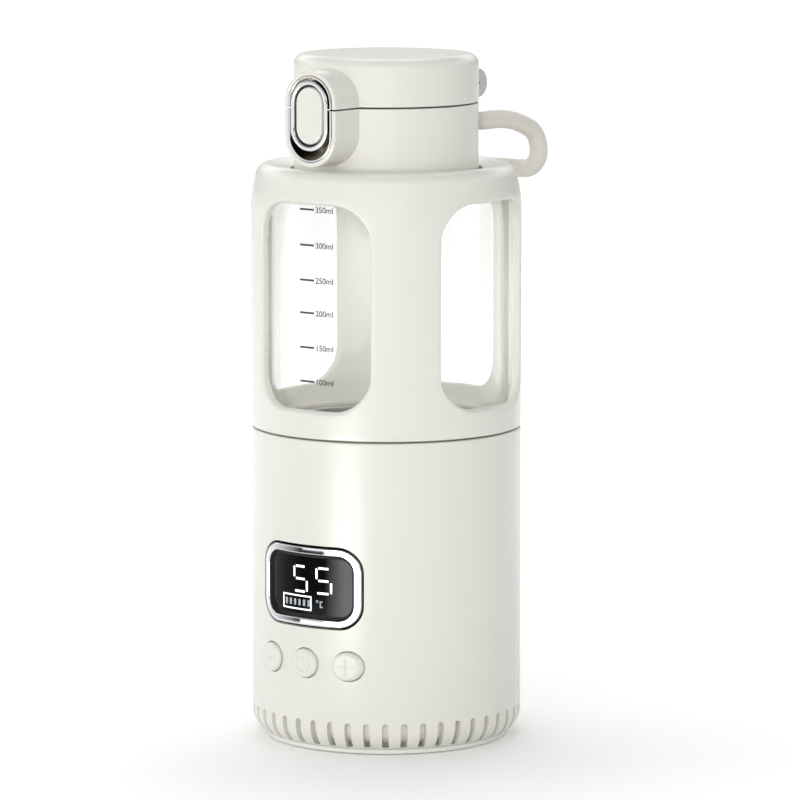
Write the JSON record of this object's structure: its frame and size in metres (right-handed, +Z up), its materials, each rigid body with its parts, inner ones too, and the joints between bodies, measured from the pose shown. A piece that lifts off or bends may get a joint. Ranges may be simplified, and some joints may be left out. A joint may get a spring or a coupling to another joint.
{
  "type": "electric heating cup",
  "caption": "Portable milk-warming cup: a battery base with display and buttons, a glass in a windowed sleeve, and a screw lid with flip cap, rocker latch and carry loop.",
  "frame": {"origin": "middle of the underside of the base pad, on the floor", "axes": "+Z up along the cup axis, the display and the latch face -Y, +X to the right seen from the front"},
  "size_m": [0.0892, 0.1096, 0.2267],
  "materials": {
    "body_plastic": "satin cream-white moulded plastic",
    "loop_plastic": "satin cream moulded plastic, slightly flexible",
    "inner_plastic": "food-safe white moulded plastic",
    "dark_plastic": "dark moulded plastic",
    "grey_plastic": "satin grey plastic",
    "module_plastic": "white display module housing",
    "lens": "gloss black tinted lens",
    "bright_trim": "bright plated",
    "glass": "clear borosilicate glass",
    "steel": "brushed stainless steel",
    "silicone": "translucent food-safe silicone",
    "board": "green coated circuit board",
    "cell_wrap": "wrapped battery cell",
    "heater_alloy": "cast aluminium heater",
    "mica": "mica heat shield"
  },
  "bodies": {
    "base": {"base_shell": "body_plastic", "bottom_cover": "body_plastic", "base_pad": "silicone", "cover_screws": "steel", "cell_tray": "dark_plastic", "battery_cells": "cell_wrap", "cell_clamp": "dark_plastic", "control_board": "board", "board_parts": "dark_plastic", "board_switches": "dark_plastic", "display_module": "module_plastic", "display_lens": "lens", "display_frame": "bright_trim", "charge_board": "board", "charge_socket": "steel", "deck_ring": "inner_plastic", "heating_pan": "steel", "heater_plate": "heater_alloy", "heat_shield": "mica", "temperature_sensor": "dark_plastic", "thermal_cutout": "dark_plastic"},
    "minus_key": {"minus_button": "body_plastic"},
    "power_key": {"power_button": "body_plastic"},
    "plus_key": {"plus_button": "body_plastic"},
    "pan_gasket": {"cup_seal": "silicone"},
    "cup": {"sleeve": "body_plastic", "glass": "glass", "seat_ring": "inner_plastic", "neck_ring": "inner_plastic", "neck_washer": "silicone"},
    "lid_gasket": {"lid_seal": "silicone"},
    "lid": {"collar": "body_plastic", "lid_liner": "inner_plastic", "lower_trim": "bright_trim", "latch_pin": "steel", "latch_spring": "steel", "hinge_pin": "steel", "hinge_springs": "steel", "loop_pins": "steel"},
    "cap": {"flip_cap": "body_plastic", "cap_disc": "inner_plastic", "stopper": "silicone", "upper_trim": "bright_trim", "hinge_end_caps": "grey_plastic"},
    "release": {"latch_lever": "inner_plastic", "rocker_ring": "bright_trim", "rocker_face": "body_plastic"},
    "loop": {"carry_loop": "loop_plastic"}
  },
  "joints": [
    {"name": "minus_press", "type": "slide", "parent": "base", "child": "minus_key", "axis": [0, 1, 0], "range_m": [0, 0.0008], "stiffness_N_per_m": 250, "springref_m": -0.002},
    {"name": "power_press", "type": "slide", "parent": "base", "child": "power_key", "axis": [0, 1, 0], "range_m": [0, 0.0008], "stiffness_N_per_m": 250, "springref_m": -0.002},
    {"name": "plus_press", "type": "slide", "parent": "base", "child": "plus_key", "axis": [0, 1, 0], "range_m": [0, 0.0008], "stiffness_N_per_m": 250, "springref_m": -0.002},
    {"name": "cup_rise", "type": "slide", "parent": "base", "child": "pan_gasket", "axis": [0, 0, 1], "range_m": [0, 0.00725]},
    {"name": "cup_turn", "type": "hinge", "parent": "pan_gasket", "child": "cup", "pos_m": [0, 0, 0.1], "axis": [0, 0, 1], "range_deg": [0, 216]},
    {"name": "lid_rise", "type": "slide", "parent": "cup", "child": "lid_gasket", "axis": [0, 0, 1], "range_m": [0, 0.00725]},
    {"name": "lid_turn", "type": "hinge", "parent": "lid_gasket", "child": "lid", "pos_m": [0, 0, 0.2], "axis": [0, 0, 1], "range_deg": [0, 324]},
    {"name": "cap_open", "type": "hinge", "parent": "lid", "child": "cap", "pos_m": [0, 0.0313, 0.2156], "axis": [-1, 0, 0], "range_deg": [0, 115], "deforming": ["hinge_springs"]},
    {"name": "release_press", "type": "hinge", "parent": "lid", "child": "release", "pos_m": [0, -0.0346, 0.2061], "axis": [1, 0, 0], "range_deg": [0, 8], "stiffness_Nm_per_rad": 0.02, "springref_deg": -17.19, "deforming": ["latch_spring"]},
    {"name": "loop_swing", "type": "hinge", "parent": "lid", "child": "loop", "pos_m": [0, 0.0279, 0.2035], "axis": [-1, 0, 0], "range_deg": [-80, 0]}
  ],
  "couplings": [
    {"joint": "cup_rise", "follows": "cup_turn", "m_per_rad": 0.0019099},
    {"joint": "lid_rise", "follows": "lid_turn", "m_per_rad": 0.0012732}
  ]
}
